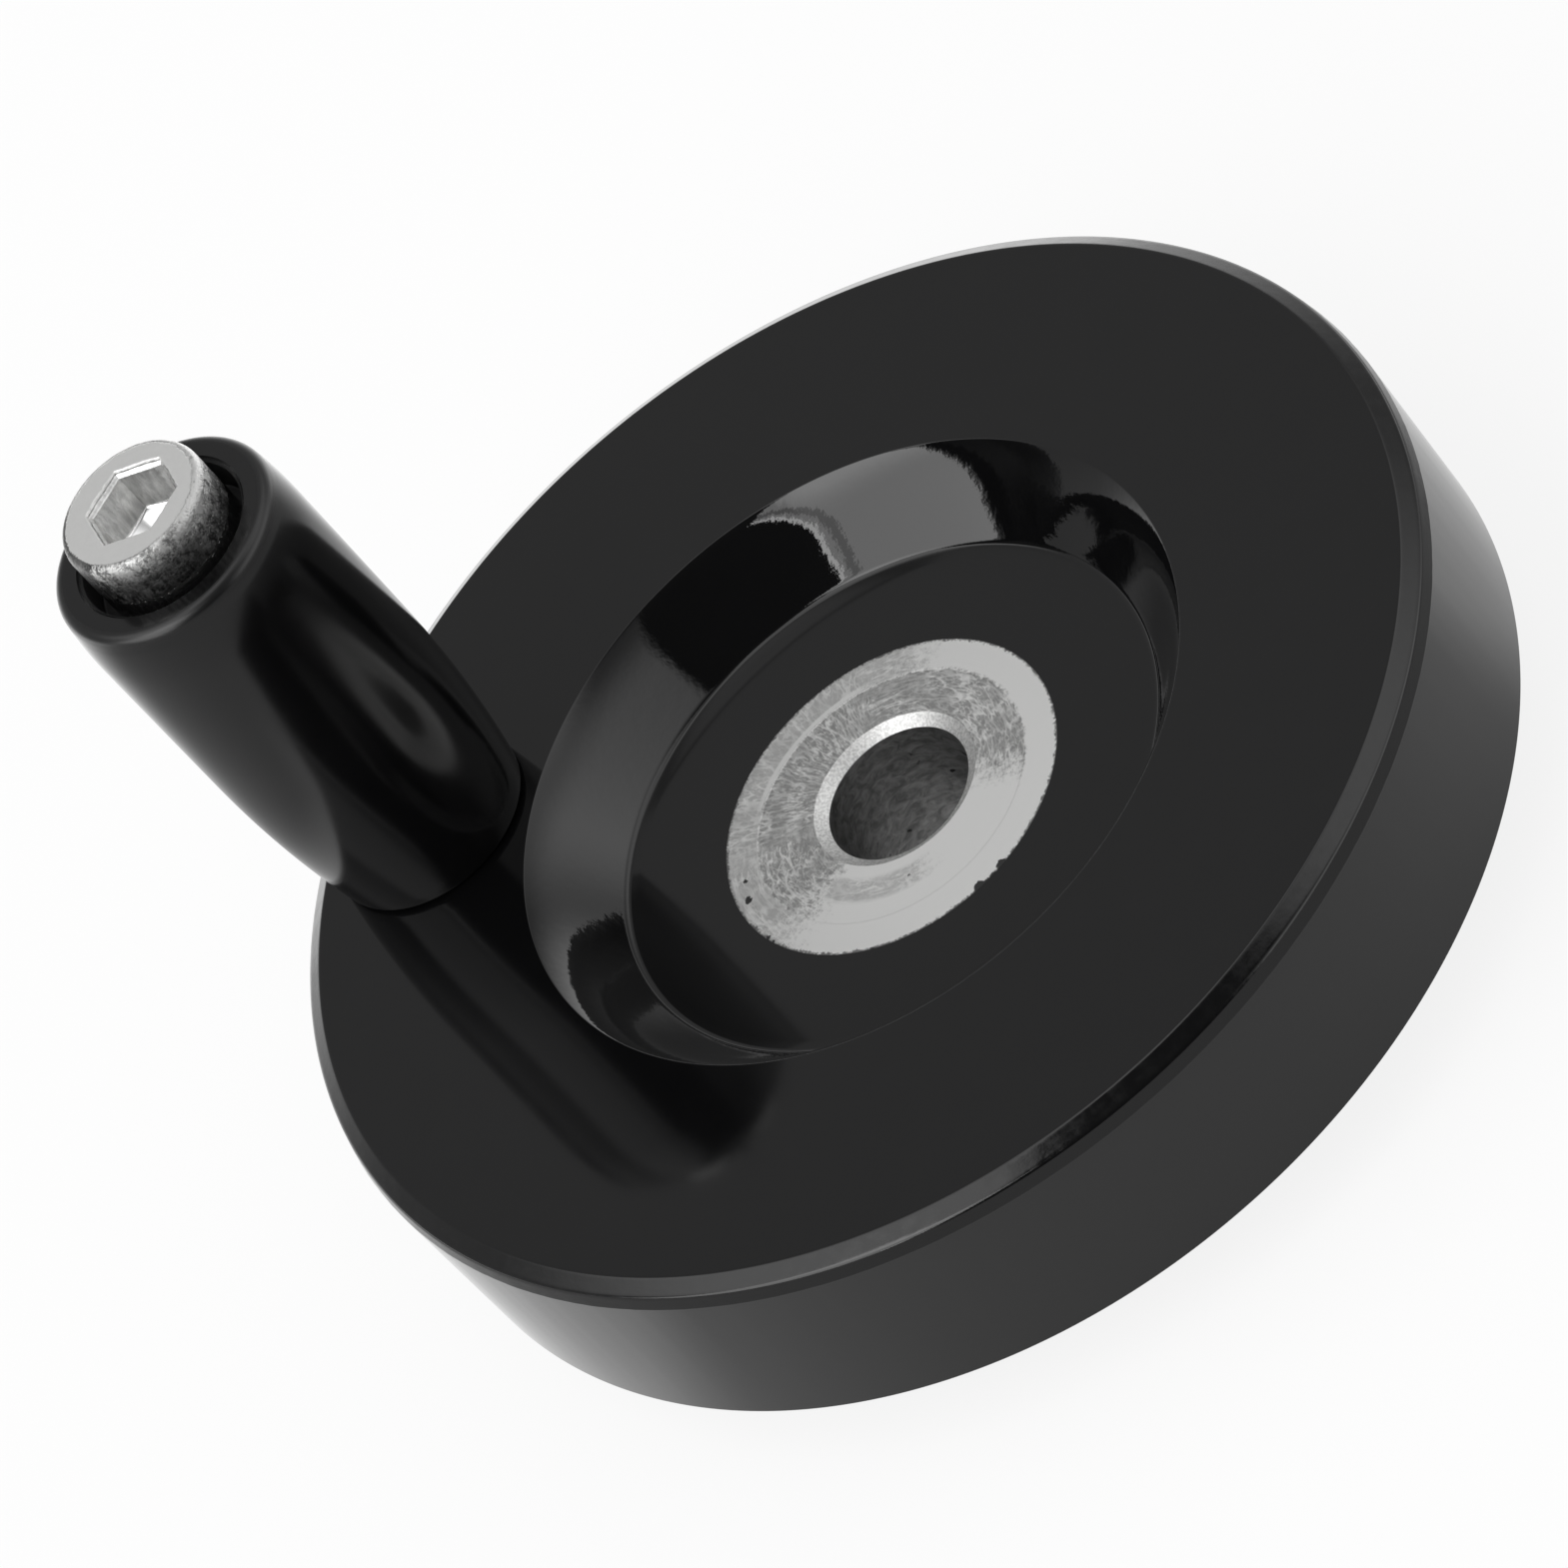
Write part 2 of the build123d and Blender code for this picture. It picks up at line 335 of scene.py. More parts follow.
def solid(name, grids, sharp=35.0):
    """A closed mesh from grids of points, each (points, wrap_rows, wrap_columns).

    Points in the same place become one, so seams and poles close, a face that loses a corner turns
    into a triangle, and the faces are turned outwards.
    """
    points = np.vstack([g[0].reshape(-1, 3) for g in grids])
    firsts = np.cumsum([0] + [g[0].shape[0] * g[0].shape[1] for g in grids])
    corner = np.vstack([
        quads(g[0].shape[0], g[0].shape[1], first, g[1], g[2]) for g, first in zip(grids, firsts)
    ])
    key = np.round(points / WELD).astype(np.int64)
    _, kept, number = np.unique(key, axis=0, return_index=True, return_inverse=True)
    points = points[kept]
    corner = number.reshape(-1)[corner]
    same = corner == np.roll(corner, -1, axis=1)
    whole = corner[same.sum(1) == 0]
    pinched = corner[same.sum(1) == 1]
    lost = same[same.sum(1) == 1]
    triangle = pinched[~lost].reshape(-1, 3)
    mesh = bpy.data.meshes.new(name)
    mesh.vertices.add(len(points))
    mesh.vertices.foreach_set("co", points.astype(np.float32).ravel())
    loops = np.concatenate([whole.ravel(), triangle.ravel()]).astype(np.int32)
    starts = np.concatenate([
        np.arange(len(whole)) * 4, len(whole) * 4 + np.arange(len(triangle)) * 3
    ]).astype(np.int32)
    mesh.loops.add(len(loops))
    mesh.loops.foreach_set("vertex_index", loops)
    mesh.polygons.add(len(starts))
    mesh.polygons.foreach_set("loop_start", starts)
    mesh.update(calc_edges=True)
    mesh.validate()
    work = bmesh.new()
    work.from_mesh(mesh)
    bmesh.ops.recalc_face_normals(work, faces=work.faces)
    work.to_mesh(mesh)
    work.free()
    mesh.shade_smooth()
    mesh.set_sharp_from_angle(angle=math.radians(sharp))
    return added(name, mesh)


def added(name, data):
    """A new object in the scene."""
    made = bpy.data.objects.new(name, data)
    bpy.context.scene.collection.objects.link(made)
    return made


def dress(piece, material):
    """Gives a piece, or a CAD node, its one material."""
    piece.data.materials.clear()
    piece.data.materials.append(material)


# ---- Wheel moulding ----


def wheel_outline(w, b):
    """Corners and rounds of the wheel's section, from the bevel round the back to the recess's floor."""
    face = b.length + w.recess_depth
    back = face - w.rim_width
    radius = w.diameter / 2
    front = radius - w.land_draft
    side_back = radius - w.side_draft
    inner = side_back - w.rim_wall
    web_back = face - w.web
    slope = w.recess_slope / w.recess_depth
    dish = radius - w.face_width + w.web * math.hypot(w.recess_slope, w.recess_depth) / w.recess_depth
    dish_floor = b.length - w.web
    draft = math.tan(w.draft)
    hub = b.across_flats / 2 / math.cos(math.pi / 6) + w.hub_wall
    small = w.edge_round
    belt_low = (b.length - b.belt_length) / 2
    belt_high = belt_low + b.belt_length
    bush = b.diameter / 2
    return [
        (front - w.bevel_width, face, w.bevel_round),
        (front, face - w.bevel_depth, w.bevel_round),
        (radius, face - w.bevel_depth - w.land_width, small),
        (side_back, back + w.back_edge, small),
        (side_back - w.back_edge, back, small),
        (inner, back, 2 * small),
        (inner - draft * (web_back - back), web_back, w.root_radius),
        (dish - slope * w.web, web_back, w.root_radius),
        (dish - slope * (face - dish_floor), dish_floor, w.root_radius),
        (hub + draft * dish_floor, dish_floor, w.root_radius),
        (hub, 0.0, 2 * small),
        (bush, 0.0, 0.0),
        (bush, belt_low, 0.0),
        (b.across_flats / 2, belt_low, 0.0),
        (b.across_flats / 2, belt_high, 0.0),
        (bush, belt_high, 0.0),
        (bush, b.length, 0.0),
        (radius - w.face_width, face, 0.0),
    ]


def recess_wall(w, b, steps=48):
    """Points of the recess's wall from its floor to the face.

    The slope turns up evenly in the floor's fillet, stays along the straight part, falls with the
    square of the way through the roll, and turns down evenly to the flat face. The points add up
    steps along that slope, and are then stretched a little so that both ends meet their sizes.
    """
    straight_line = math.hypot(w.recess_slope, w.recess_depth)
    run = straight_line - 2 * w.floor_radius * math.tan(w.wall_slope / 2)
    top = w.wall_slope - w.wall_roll
    straight = run * w.wall_straight
    parts = np.array([w.floor_radius * w.wall_slope, straight, run - straight, w.recess_edge * top])
    ends = np.concatenate([[0.0], np.cumsum(parts)])
    counts = (9, steps // 2, steps, 9)
    spans = [np.linspace(start, stop, n) for start, stop, n in zip(ends[:-1], ends[1:], counts)]
    along = np.unique(np.concatenate(spans))
    rolled = np.clip((along - ends[2]) / parts[2], 0, 1)
    slope = w.wall_slope * np.clip(along / parts[0], 0, 1) - w.wall_roll * rolled ** 2
    slope *= np.clip((ends[4] - along) / parts[3], 0, 1)
    middle = (slope[1:] + slope[:-1]) / 2
    step = np.diff(along)
    path = np.zeros((len(along), 2))
    path[1:, 0] = np.cumsum(np.cos(middle) * step)
    path[1:, 1] = np.cumsum(np.sin(middle) * step)
    path *= np.array([w.recess_slope, w.recess_depth]) / path[-1]
    path += (w.diameter / 2 - w.face_width - w.recess_slope, b.length)
    before = path[:1] - (w.floor_radius, 0.0)
    after = path[-1:] + (w.recess_edge, 0.0)
    return np.concatenate([before, path, after])


def wheel_grids(w, b, insert):
    """The moulding as grids: a swept section, the flat face, and rings round the insert's pocket."""
    turns = angles(480)
    half = 20
    rungs = 12
    parts = rounded(wheel_outline(w, b))
    section = np.concatenate([flat(parts[:-1]), recess_wall(w, b)])
    radius = belted(section, turns, b.across_flats)
    parting = section[:, 0] > w.diameter / 2 - 0.1 * MM
    radius[parting] -= w.flash * unevenness(turns, (17, 41, 73, 149, 211))
    body = swept(radius, section[:, 1], turns)

    face = b.length + w.recess_depth
    low = section[-1, 0]
    high = section[0, 0]
    ladder = np.linspace(low, high, rungs + 1)
    rest = turns[half:len(turns) - half + 1]
    face_grid = swept(ladder, np.full(len(ladder), face), rest)

    # Rings round the handle's axis: the edge of the face's open sector, a circle, the pocket's
    # hexagon at the face and at its bottom, and the bottom's middle.
    near = turns[np.arange(-half, half + 1)]
    near = np.where(near > math.pi, near - 2 * math.pi, near)
    end = near[-1]
    sides = ladder[1:-1]
    edge_radius = np.concatenate([np.full(len(near), low), sides, np.full(len(near), high), sides[::-1]])
    edge_turn = np.concatenate([near, np.full(len(sides), end), near[::-1], np.full(len(sides), -end)])
    edge = np.stack([edge_radius * np.cos(edge_turn), edge_radius * np.sin(edge_turn)], axis=1)
    centre = w.diameter / 2 - insert.inset
    way = np.arctan2(edge[:, 1], edge[:, 0] - centre)
    for corner in np.radians([-180, -120, -60, 0, 60, 120]):
        apart = np.abs(np.angle(np.exp(1j * (way - corner))))
        way[apart.argmin()] = corner
    pocket = hexagon(way, insert.across_flats)
    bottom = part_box("handle_insert")[0].z
    circle = np.full(len(way), 6 * MM)
    distance = np.stack([circle, pocket, pocket, 0 * pocket])
    level = np.repeat([[face], [face], [bottom], [bottom]], len(way), axis=1)
    rings = np.stack([centre + distance * np.cos(way), distance * np.sin(way), level], axis=2)
    outer = np.column_stack([edge, np.full(len(edge), face)])
    rings = np.concatenate([outer[None], rings])
    return [(body, False, True), (face_grid, False, False), (rings, False, True)]


def boss_grid(w, b, insert):
    """The insert's boss in the hollow back: a drafted plug from below the insert up into the web."""
    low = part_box("handle_insert")[0].z - insert.cover
    high = b.length + w.recess_depth - w.web / 2
    radius = insert.across_flats / 2 / math.cos(math.pi / 6) + insert.wall
    wide = radius + (high - low) * math.tan(w.draft)
    outline = [(0.0, low, 0.0), (radius, low, 2 * w.edge_round), (wide, high, 0.0), (0.0, high, 0.0)]
    section = flat(rounded(outline))
    return swept(section[:, 0], section[:, 1], angles(120), w.diameter / 2 - insert.inset)


# ---- Metal pieces ----


def bush_grid(b):
    """The bush's section swept in one turn; the rows of its belt follow the hexagon."""
    turns = angles(360)
    bore = b.bore / 2
    mouth = bore + b.mouth_width
    outer = b.diameter / 2
    low = (b.length - b.belt_length) / 2
    high = low + b.belt_length
    fine = 0.04 * MM
    outline = [
        (bore, b.mouth_depth, fine),
        (bore, b.length - b.mouth_depth, fine),
        (mouth, b.length - b.ring_step, fine),
        (b.ring - 0.1 * MM, b.length - b.ring_step, fine),
        (b.ring, b.length, fine),
        (outer, b.length, fine),
        (outer, high, 0.0),
        (b.across_flats / 2, high, 0.0),
        (b.across_flats / 2, low, 0.0),
        (outer, low, 0.0),
        (outer, 0.0, fine),
        (mouth, 0.0, fine),
    ]
    section = flat(rounded(outline))
    points = swept(belted(section, turns, b.across_flats), section[:, 1], turns)
    drilled = section[:, 0] < mouth + 0.1 * MM
    points[drilled] += drift(b.bore_drift, b.drift_turn)
    return points


def screw_head(s, seat, high, turns, centre):
    """The head's side with its knurl, swept from the seat over the shoulder to the flat top."""
    outer = s.head / 2
    foot_round = 0.15 * MM
    foot = flat(rounded([(0.0, seat, 0.0), (outer, seat, foot_round), (outer, high, 0.0)])[1:2])
    side = np.linspace(foot[-1], (outer, high - s.shoulder), 14)[1:-1]
    # The shoulder is a quarter of an ellipse from the side to the flat top.
    quarter = np.linspace(0, math.pi / 2, 14)
    shoulder = np.stack([
        outer - s.head_edge * (1 - np.cos(quarter)), high - s.shoulder * (1 - np.sin(quarter)),
    ], axis=1)
    head = np.concatenate([foot, side, shoulder, [(outer - s.head_edge - 0.1 * MM, high)]])
    # The knurl: grooves that fade out at the seat and over the shoulder.
    fade_in, bare_top, fade_out = 0.5 * MM, 0.3 * MM, 0.7 * MM
    rising = np.clip((head[:, 1] - seat) / fade_in, 0, 1)
    falling = np.clip((high - bare_top - head[:, 1]) / fade_out, 0, 1)
    fade = rising * falling
    groove = (0.5 - 0.5 * np.cos(turns * s.knurls)) ** 1.5
    groove = groove * (0.4 + 0.6 * unevenness(turns, (5, 13, 29, 61)))
    radius = head[:, :1] - s.knurl_depth * fade[:, None] * groove
    return swept(radius, head[:, 1], turns, centre)


def screw_socket(s, high, turns, centre):
    """Rings from the flat top through the socket's broken mouth down its flats to the drill point."""
    corner = s.socket_turn
    shift = turns - corner
    nearest = np.round(shift / (math.pi / 3)) * math.pi / 3
    snapped = np.where(np.abs(shift - nearest) <= math.pi / len(turns), nearest, shift) + corner
    ragged = 0.7 + 0.3 * unevenness(snapped, (2, 5, 9, 17, 31))
    flats = hexagon(snapped, s.socket, corner)
    # The lip breaks from the flat top at an edge and steps down into the flats.
    fall = np.linspace(0, 1, 25)[:, None]
    lip = flats + s.socket_flare * ragged * (1 - fall) - s.lip_ripple * np.sin(3 * math.pi * fall)
    lip_level = high - s.flare_depth * fall * (0.8 + 0.2 * fall)
    # Its bottom is a round cone as wide as the corners, so the corners end higher than the flats do.
    edge = 0.05 * MM
    even = np.ones(len(turns))
    slope = 1 / math.tan(s.drill_point / 2)
    bottom = high - s.socket_depth - slope * (flats.max() - flats)
    cone = flats - 2 * edge
    inward = np.array([1.0, 0.97, 0.6, 0.2, 0.03, 0.0])[:, None]
    wall = np.stack([flats, flats, flats, flats - edge])
    wall_level = np.stack([(high - s.flare_depth - edge) * even, bottom + edge, bottom, bottom])
    cone_level = bottom - slope * cone * (1 - inward)
    radius = np.concatenate([lip[:1] + 2 * edge, lip, wall, cone * inward])
    level = np.concatenate([[high * even], lip_level * even, wall_level, cone_level])
    rings = np.stack([centre + radius * np.cos(snapped), radius * np.sin(snapped), level], axis=2)
    return rings + drift(s.socket_drift, s.socket_drift_turn)


def screw_shank(s, low, seat, centre):
    """A thread whose crest runs once round for every pitch, then the plain part up to the seat."""
    shank = s.thread / 2
    depth = 0.61 * s.pitch
    flank = 1.25  # steepness of the thread's flanks
    crest = 0.125  # share of the pitch that is flat
    taper = 0.8 * MM  # the tip's bevel
    fade = 1.5 * MM  # over which the thread runs out
    rows = np.arange(low, low + s.thread_length, s.pitch / 10)
    turns = angles(96)
    phase = np.mod(rows[:, None] / s.pitch - turns[None, :] / (2 * math.pi), 1)
    shape = np.clip(np.abs(phase - 0.5) * 2 * flank - crest, 0, 1)
    lead = np.clip((rows - low) / taper, 0, 1)[:, None]
    run_out = np.clip((low + s.thread_length - rows) / fade, 0, 1)[:, None]
    thread = np.minimum(shank - depth * shape * run_out, shank - taper * (1 - lead))
    tail = np.full((1, len(turns)), shank)
    radius = np.concatenate([0 * tail, thread, tail, tail])
    return swept(radius, np.concatenate([[low], rows, [low + s.thread_length, seat]]), turns, centre)


def screw_grids(s, centre):
    """The screw as grids: head, socket, the head's underside, shank, and the shank's end in the head."""
    low, high = (corner.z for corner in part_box("handle_screw"))
    seat = high - s.head_height
    turns = angles(s.knurls * 8)
    head = screw_head(s, seat, high, turns, centre)
    shank = screw_shank(s, low, seat, centre)
    # The flat top is one fan between the head's turns and the socket's, which are moved to its corners.
    socket = np.concatenate([head[-1:], screw_socket(s, high, turns, centre)])
    middle = np.array([centre, 0.0, seat])
    under = np.stack([0 * head[0] + middle, head[0]])
    end = np.stack([shank[-1], 0 * shank[-1] + middle])
    return [(grid, False, True) for grid in (head, socket, under, shank, end)]


def grip_grid(g, centre):
    """The grip's section swept in one turn: a flare, a straight flank, a shoulder, and the bore inside."""
    low, high = (corner.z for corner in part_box("handle_grip"))
    base = (g.base / 2, low)
    belly = (g.belly / 2, low + g.belly_height)
    crown = (g.crown / 2, high - g.crown_drop)
    end = (g.end / 2, high)
    flank = np.subtract(crown, belly)
    flare = bow(belly, base, -flank, 28)[::-1]
    shoulder = bow(crown, end, flank, 16)
    outside = np.concatenate([flare, np.linspace(belly, crown, 12)[1:-1], shoulder])
    counterbore = g.counterbore / 2
    bore = g.bore / 2
    floor = high - g.counterbore_depth

    # The rounds at both ends start from points a little way up the flank.
    loop = [
        (*outside[-8], 0.0),
        (g.end / 2, high, g.end_round),
        (counterbore + g.lip, high, 0.05 * MM),
        (counterbore, high - g.lip, 0.05 * MM),
        (counterbore, floor, 0.15 * MM),
        (bore, floor, 0.05 * MM),
        (bore, low, 0.1 * MM),
        (g.base / 2, low, g.base_round),
        (*outside[6], 0.0),
    ]
    tail = flat(rounded(loop, steps=9)[1:-1])
    keep = (outside[:, 1] > tail[-1, 1]) & (outside[:, 1] < tail[0, 1])
    section = np.concatenate([outside[keep], tail])
    return swept(section[:, 0], section[:, 1], angles(288), centre)


# ---- Shader parts ----


def place(tree, kind, **settings):
    """A new shader node with its own settings."""
    made = tree.nodes.new(kind)
    for key, value in settings.items():
        setattr(made, key, value)
    return made


def tree_of(*values):
    """The node tree that the first socket among the values is in."""
    return next(value.id_data for value in values if isinstance(value, bpy.types.NodeSocket))


def feed(target, value):
    """Joins an output to an input, or sets the input to a plain value."""
    if isinstance(value, bpy.types.NodeSocket):
        value.id_data.links.new(value, target)
    else:
        target.default_value = value


def fill(node, **values):
    """Feeds a node's inputs, given by name with spaces as underscores, and gives its outputs."""
    for key, value in values.items():
        feed(node.inputs[key.replace("_", " ")], value)
    return node.outputs


def maths(operation, *values):
    """One Math node, and its value."""
    made = place(tree_of(*values), "ShaderNodeMath", operation=operation)
    for target, value in zip(made.inputs, values):
        feed(target, value)
    return made.outputs[0]


times = partial(maths, "MULTIPLY")
plus = partial(maths, "ADD")
minus = partial(maths, "SUBTRACT")  # the first less the second
larger = partial(maths, "MAXIMUM")
scaled_sum = partial(maths, "MULTIPLY_ADD")  # a value times a factor, added to a start


def paired(x, y):
    """A place in the XY plane from two values."""
    return fill(place(tree_of(x, y), "ShaderNodeCombineXYZ"), X=x, Y=y)["Vector"]


def ramped(value, low, high, to_low=0.0, to_high=1.0, smooth=True):
    """A value carried from one range to another, held at its ends."""
    kind = "SMOOTHSTEP" if smooth else "LINEAR"
    made = place(value.id_data, "ShaderNodeMapRange", interpolation_type=kind)
    return fill(made, Value=value, From_Min=low, From_Max=high, To_Min=to_low, To_Max=to_high)["Result"]


def parted(vector):
    """The X, Y and Z of a vector."""
    return fill(place(vector.id_data, "ShaderNodeSeparateXYZ"), Vector=vector)


def vector_maths(operation, *values, output="Value"):
    """One Vector Math node, and its output of that name."""
    made = place(tree_of(*values), "ShaderNodeVectorMath", operation=operation)
    for target, value in zip(made.inputs, values):
        feed(target, value)
    return made.outputs[output]


def blended(mask, first, second):
    """first where the mask is 0 and second where it is 1, for numbers."""
    made = place(tree_of(mask, first, second), "ShaderNodeMix", data_type="FLOAT")
    return fill(made, Factor=mask, A=first, B=second)["Result"]


def toned(mask, first, second):
    """first where the mask is 0 and second where it is 1, for colours."""
    made = place(mask.id_data, "ShaderNodeMix", data_type="RGBA")
    sockets = [s for s in made.inputs if s.type == "RGBA"]
    feed(made.inputs["Factor"], mask)
    feed(sockets[0], first)
    feed(sockets[1], second)
    return [s for s in made.outputs if s.type == "RGBA"][0]


def noise(where, scale, detail=2.0, roughness=0.5, distortion=0.0):
    """A noise pattern's value."""
    made = place(where.id_data, "ShaderNodeTexNoise")
    fill(made, Vector=where, Scale=scale, Detail=detail, Roughness=roughness, Distortion=distortion)
    return made.outputs["Fac"]


def object_place(material, centre=0.0):
    """Object coordinates, moved so that the Z axis of a piece at X centre is at 0."""
    where = place(material.node_tree, "ShaderNodeTexCoord").outputs["Object"]
    if centre == 0.0:
        return where
    made = place(material.node_tree, "ShaderNodeMapping")
    return fill(made, Vector=where, Location=(-centre, 0.0, 0.0))["Vector"]


def group_tree(name, inputs, outputs):
    """An empty shader group with named sockets, each (name, kind, default)."""
    tree = bpy.data.node_groups.new(name, "ShaderNodeTree")
    for label, kind, default in inputs:
        made = tree.interface.new_socket(name=label, in_out="INPUT", socket_type=kind)
        if default is not None:
            made.default_value = default
    for label, kind in outputs:
        tree.interface.new_socket(name=label, in_out="OUTPUT", socket_type=kind)
    return tree, tree.nodes.new("NodeGroupInput").outputs, tree.nodes.new("NodeGroupOutput").inputs


def use(group, **values):
    """A group placed where the values are, and its outputs."""
    return fill(place(tree_of(*values.values()), "ShaderNodeGroup", node_tree=group), **values)


def polar_group():
    """Radius, angle and level of a point about the Z axis."""
    tree, given, out = group_tree(
        "Round the axis", [("Place", VECTOR, None)],
        [("Radius", NUMBER), ("Angle", NUMBER), ("Level", NUMBER)],
    )
    x, y, z = parted(given["Place"])
    square = plus(times(x, x), times(y, y))
    feed(out["Radius"], maths("SQRT", square))
    feed(out["Angle"], maths("ARCTAN2", y, x))
    feed(out["Level"], z)
    return tree


def turning_group(polar):
    """Tool marks of a turned surface: fine rings that waver a little, as a height from 0 to 1."""
    tree, given, out = group_tree(
        "Turning marks",
        [("Place", VECTOR, None), ("Spacing", NUMBER, 0.1 * MM), ("Waver", NUMBER, 0.3)],
        [("Height", NUMBER), ("Streak", NUMBER)],
    )
    about = use(polar, Place=given["Place"])
    along = plus(about["Radius"], about["Level"])
    rings = maths("DIVIDE", along, given["Spacing"])
    bent = times(noise(given["Place"], 400.0), given["Waver"])
    path = paired(plus(rings, bent), times(about["Angle"], 1.2))
    feed(out["Height"], noise(path, 1.0, 2.0, 0.6))
    slow = paired(times(rings, 0.22), times(about["Angle"], 2.5))
    feed(out["Streak"], noise(slow, 1.0, 3.0, 0.55))
    return tree


def mottle_group():
    """Uneven plating or skin: soft clouds with finer grain in them, as a value round 0.5."""
    tree, given, out = group_tree(
        "Mottle", [("Place", VECTOR, None), ("Scale", NUMBER, 1500.0), ("Grain", NUMBER, 0.4)],
        [("Cloud", NUMBER)],
    )
    scaled = place(tree, "ShaderNodeVectorMath", operation="SCALE")
    scaled = fill(scaled, Vector=given["Place"], Scale=given["Scale"])["Vector"]
    coarse = noise(scaled, 1.0)
    fine = noise(scaled, 3.7, 3.0, 0.6)
    feed(out["Cloud"], blended(given["Grain"], coarse, fine))
    return tree


def spot_mask(place_of, spots, edge):
    """1 inside any of the (x, y, radius) spots in millimetres, with a ragged edge of that width."""
    ragged = times(minus(noise(place_of, 3600.0, 3.0), 0.5), 0.5 * MM)
    level_place = vector_maths("MULTIPLY", place_of, (1.0, 1.0, 0.0), output="Vector")
    total = 0.0
    for x, y, radius in spots:
        away = vector_maths("DISTANCE", level_place, (x * MM, y * MM, 0.0))
        mask = ramped(plus(away, ragged), radius * MM, (radius + edge) * MM, 1.0, 0.0)
        total = larger(mask, total)
    return total


def band(value, low, high, soft):
    """1 where a value lies between low and high, with edges of width soft."""
    rise = ramped(value, low - soft / 2, low + soft / 2)
    fall = ramped(value, high - soft / 2, high + soft / 2, 1.0, 0.0)
    return times(rise, fall)


def sector(angle, ragged, middle, half):
    """1 within half of a middle angle, both in degrees, with a ragged end at each side."""
    soft = 9
    turned = maths("WRAP", plus(angle, -math.radians(middle)), math.pi, -math.pi)
    off = plus(ragged, maths("ABSOLUTE", turned))
    return ramped(off, math.radians(half - soft), math.radians(half + soft), 1.0, 0.0)


def bumped(height_of, distance, strength=1.0):
    """A normal that follows a height, distance being its whole depth."""
    made = place(height_of.id_data, "ShaderNodeBump")
    return fill(made, Strength=strength, Distance=distance, Height=height_of)["Normal"]


def blank(name):
    """A new node material and its Principled shader."""
    material = bpy.data.materials.new(name)
    material.use_nodes = True
    return material, material.node_tree.nodes["Principled BSDF"]


def grey(value):
    """A neutral colour."""
    return (value, value, value, 1.0)


def dimmed(colour, level=1.0):
    """A colour setting times a level, with its alpha."""
    return (*[part * level for part in colour], 1.0)


# ---- Finishes ----


def moulding(name, settings, mottle):
    """Black phenolic before its gloss is set: material, shader, Object coordinates and skin."""
    material, shader = blank(name)
    where = object_place(material)
    skin = use(mottle, Place=where, Scale=260.0, Grain=0.25)
    black = settings.moulding
    colour = toned(skin["Cloud"], dimmed(black, 0.8), dimmed(black, 1.2))
    fill(shader, Base_Color=colour, IOR=1.55)
    return material, shader, where, skin


def wheel_finish(settings, wheel, face, polar, mottle):
    """The wheel's gloss: flats a little dull, the recess wall polished, bevel and parting line trimmed."""
    material, shader, where, skin = moulding("wheel_phenolic", settings, mottle)
    about = use(polar, Place=where)
    recess = wheel.diameter / 2 - wheel.face_width
    wall = band(about["Radius"], recess - wheel.recess_slope + 0.1 * MM, recess - 0.05 * MM, 0.2 * MM)
    bevel = wheel.diameter / 2 - wheel.land_draft - wheel.bevel_width
    land = face - wheel.bevel_depth - wheel.land_width
    trimmed = times(ramped(about["Radius"], bevel - 0.1 * MM, bevel + 0.1 * MM),
                    ramped(about["Level"], land - 0.1 * MM, land))
    gloss = blended(wall, settings.face_rough, settings.wall_rough)
    across_bevel = times(plus(about["Radius"], about["Level"]), 3200.0)
    scraped = noise(paired(across_bevel, times(about["Angle"], 34.0)), 1.0, 3.0, 0.6)
    rough = ramped(scraped, 0.3, 0.7, settings.edge_rough * 0.6, settings.edge_rough * 1.5)
    gloss = blended(trimmed, gloss, rough)
    clouded = times(gloss, ramped(skin["Cloud"], 0.3, 0.7, 0.9, 1.15))
    waves = times(noise(where, 110.0, 1.0), 0.25)
    marks = times(times(scraped, trimmed), 0.35)
    shrinkage = times(times(noise(where, 1200.0, 3.0, 0.6), wall), 0.38)
    uneven = plus(plus(waves, marks), shrinkage)
    fill(shader, Roughness=clouded, Normal=bumped(uneven, 0.02 * MM))
    return material


def grip_finish(settings, grip, centre, top, polar, mottle):
    """The grip's even gloss over faint flow waves, duller where its end and counterbore were trimmed."""
    material, shader, where, skin = moulding("grip_phenolic", settings, mottle)
    about = use(polar, Place=object_place(material, centre))
    gloss = settings.grip_rough
    edge = ramped(about["Level"], top - 1.5 * grip.end_round, top - 0.7 * grip.end_round)
    inside = ramped(about["Radius"], grip.counterbore / 2, grip.counterbore / 2 + grip.lip, 1.0, 0.0)
    even = ramped(skin["Cloud"], 0.3, 0.75, gloss * 0.95, gloss * 1.1)
    end = grip.end / 2
    edge = times(edge, ramped(about["Radius"], end - grip.end_round, end - 0.8 * grip.end_round))
    rough = blended(inside, blended(edge, even, gloss * 2), gloss * 3)
    fill(shader, Roughness=rough, Normal=bumped(noise(where, 90.0, 1.0), 0.02 * MM, 0.2))
    return material


def strokes(about, along_radius, round_axis):
    """Worn lines from 0 to 1, where noise drawn out along the radius or round the axis crosses its middle."""
    path = paired(times(about["Radius"], along_radius), times(about["Angle"], round_axis))
    off_middle = maths("ABSOLUTE", minus(noise(path, 1.0), 0.5))
    return ramped(off_middle, 0.01, 0.06, 1.0, 0.0)


